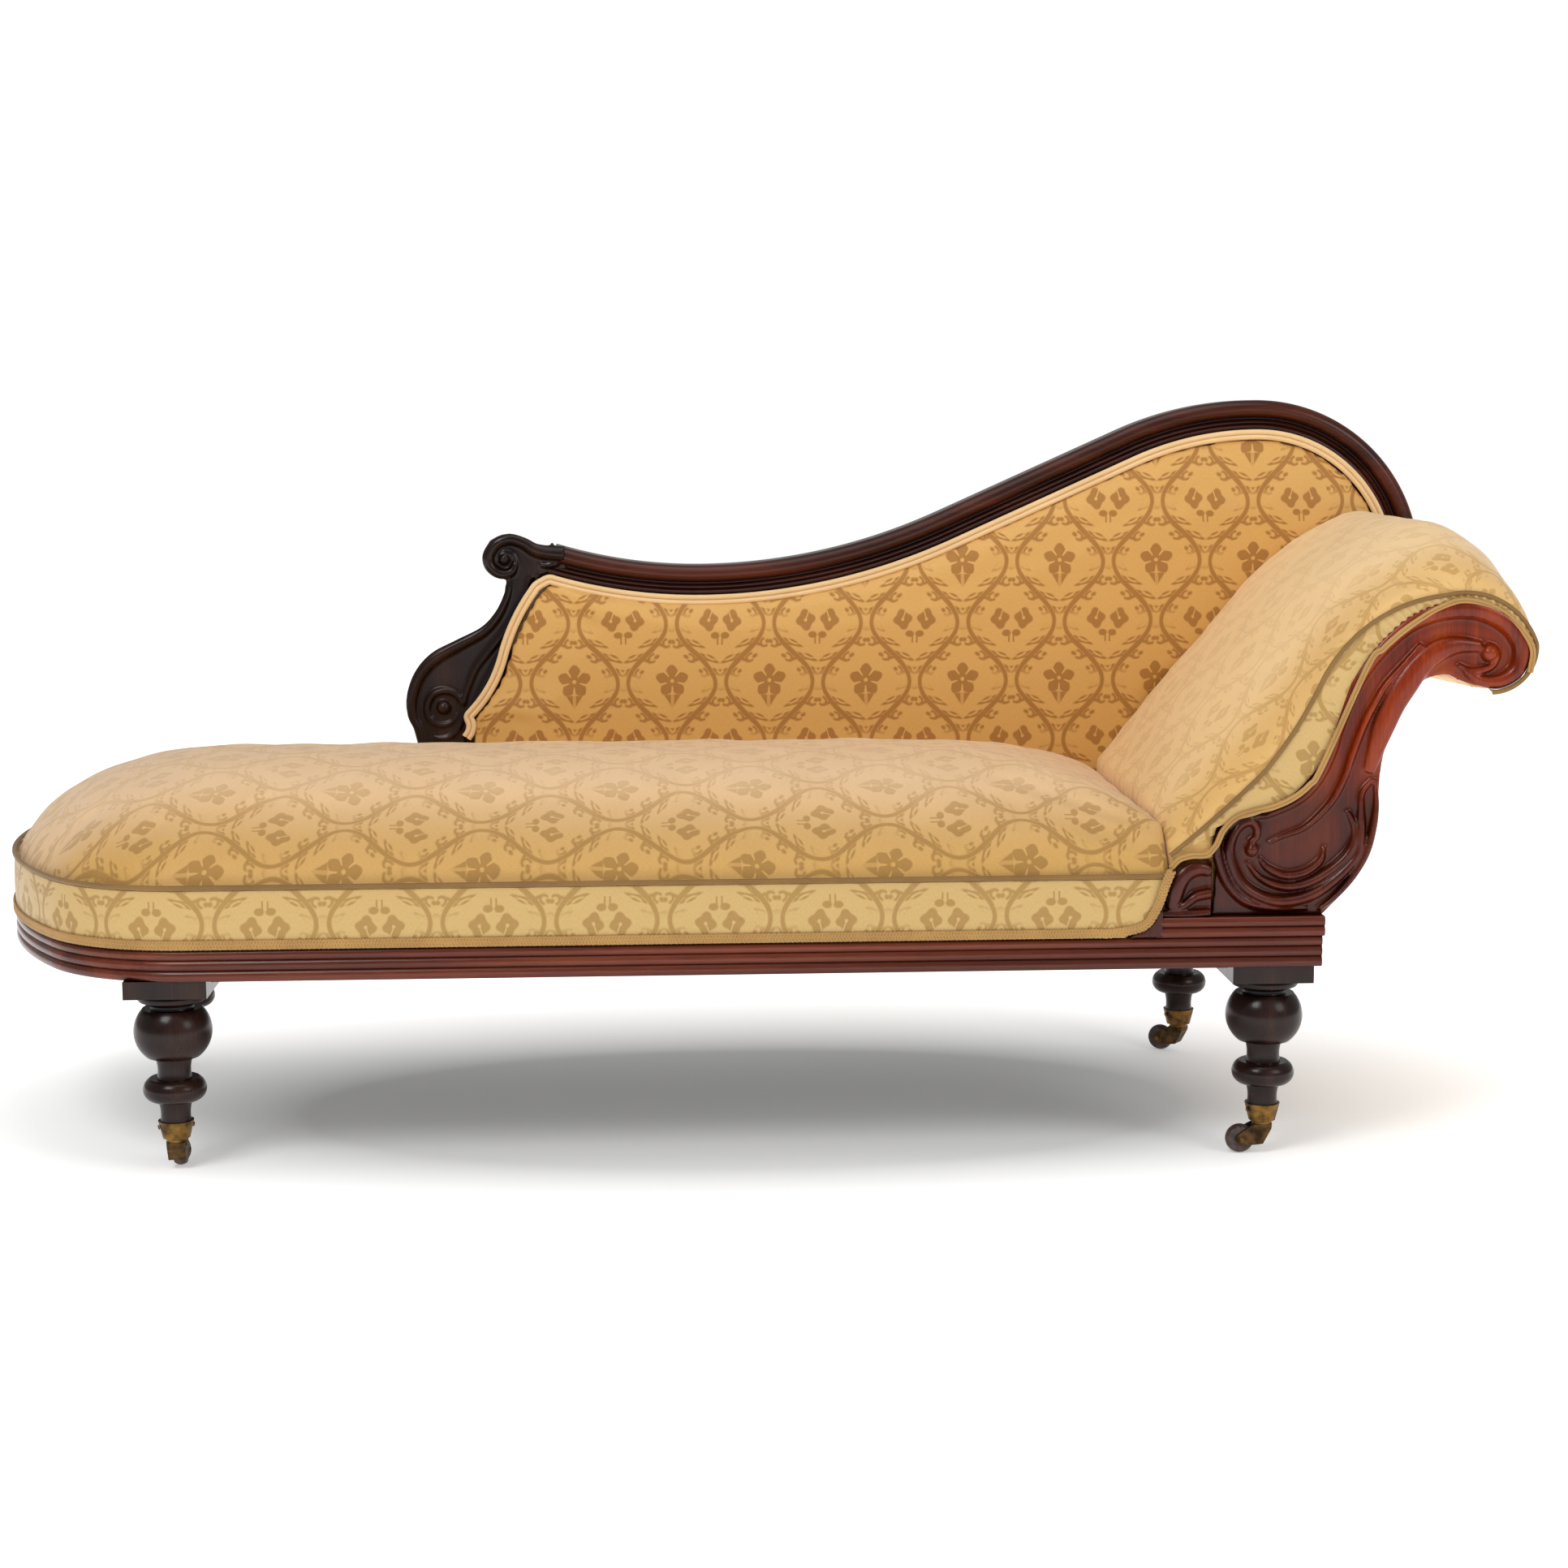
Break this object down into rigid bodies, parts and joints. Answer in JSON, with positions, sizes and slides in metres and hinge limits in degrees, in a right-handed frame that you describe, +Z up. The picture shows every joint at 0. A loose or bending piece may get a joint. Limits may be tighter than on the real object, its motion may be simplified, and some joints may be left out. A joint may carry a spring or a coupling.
{
  "type": "fainting couch",
  "caption": "Antique fainting couch with a rolled head end, serpentine half back, deep sprung seat with a rounded foot end, and turned legs on casters.",
  "frame": {"origin": "centre of the couch's plan, on the floor", "axes": "+X towards the head end, -Y the open front, +Z up from the floor"},
  "size_m": [1.8246, 0.6246, 0.879],
  "materials": {
    "mahogany": "french polished, reddish brown",
    "frame_timber": "bare beech",
    "damask": "figured gold and cream damask",
    "piping": "darker gold cord",
    "gimp": "pale gold braid",
    "stuffing": "hair and flock",
    "webbing": "woven jute",
    "lining_cloth": "plain woven cloth",
    "spring_steel": "coppered wire",
    "brass": "aged brass",
    "wheel": "dark turned hardwood"
  },
  "bodies": {
    "couch": {"back_cover": "damask", "back_foot_scroll": "mahogany", "back_gimp": "gimp", "back_head_upright": "frame_timber", "back_lower_rail": "frame_timber", "back_stuffing": "stuffing", "back_top_rail": "mahogany", "back_webbing": "webbing", "caster_cup_front_left": "brass", "caster_cup_front_right": "brass", "caster_cup_rear_left": "brass", "caster_cup_rear_right": "brass", "corner_blocks": "frame_timber", "cup_screws": "brass", "dust_cover": "lining_cloth", "ear_bracket": "mahogany", "foot_end_rail": "mahogany", "front_rail": "mahogany", "head_cover": "damask", "head_end_rail": "mahogany", "head_gimp": "gimp", "head_lower_rail": "frame_timber", "head_piping": "piping", "head_plinth_front": "mahogany", "head_scroll_front": "mahogany", "head_scroll_rear": "frame_timber", "head_stuffing": "stuffing", "head_top_rail": "frame_timber", "leg_front_left": "mahogany", "leg_front_right": "mahogany", "leg_rear_left": "mahogany", "leg_rear_right": "mahogany", "outside_back_cover": "lining_cloth", "outside_head_cover": "damask", "rear_rail": "mahogany", "seat_cover": "damask", "seat_gimp": "gimp", "seat_piping": "piping", "seat_springs": "spring_steel", "seat_stuffing": "stuffing", "spring_canvas": "webbing", "stay_rail": "frame_timber", "webbing_crosswise": "webbing", "webbing_lengthwise": "webbing"},
    "caster_front_left": {"caster_fork_front_left": "brass", "caster_axle_front_left": "brass"},
    "wheel_front_left": {"caster_wheel_front_left": "wheel"},
    "caster_front_right": {"caster_fork_front_right": "brass", "caster_axle_front_right": "brass"},
    "wheel_front_right": {"caster_wheel_front_right": "wheel"},
    "caster_rear_left": {"caster_fork_rear_left": "brass", "caster_axle_rear_left": "brass"},
    "wheel_rear_left": {"caster_wheel_rear_left": "wheel"},
    "caster_rear_right": {"caster_fork_rear_right": "brass", "caster_axle_rear_right": "brass"},
    "wheel_rear_right": {"caster_wheel_rear_right": "wheel"}
  },
  "joints": [
    {"name": "caster_swivel_front_left", "type": "hinge", "parent": "couch", "child": "caster_front_left", "pos_m": [-0.665, -0.257, 0.0354], "axis": [0, 0, 1], "continuous": true},
    {"name": "wheel_roll_front_left", "type": "hinge", "parent": "caster_front_left", "child": "wheel_front_left", "pos_m": [-0.665, -0.231, 0.017], "axis": [-1, 0, 0], "continuous": true},
    {"name": "caster_swivel_front_right", "type": "hinge", "parent": "couch", "child": "caster_front_right", "pos_m": [0.6, -0.257, 0.0354], "axis": [0, 0, 1], "continuous": true},
    {"name": "wheel_roll_front_right", "type": "hinge", "parent": "caster_front_right", "child": "wheel_front_right", "pos_m": [0.574, -0.257, 0.017], "axis": [0, -1, 0], "continuous": true},
    {"name": "caster_swivel_rear_left", "type": "hinge", "parent": "couch", "child": "caster_rear_left", "pos_m": [-0.735, 0.257, 0.0354], "axis": [0, 0, 1], "continuous": true},
    {"name": "wheel_roll_rear_left", "type": "hinge", "parent": "caster_rear_left", "child": "wheel_rear_left", "pos_m": [-0.74991, 0.2783, 0.017], "axis": [-0.8192, -0.5736, 0], "continuous": true},
    {"name": "caster_swivel_rear_right", "type": "hinge", "parent": "couch", "child": "caster_rear_right", "pos_m": [0.6, 0.257, 0.0354], "axis": [0, 0, 1], "continuous": true},
    {"name": "wheel_roll_rear_right", "type": "hinge", "parent": "caster_rear_right", "child": "wheel_rear_right", "pos_m": [0.5787, 0.27191, 0.017], "axis": [-0.5736, -0.8192, 0], "continuous": true}
  ]
}
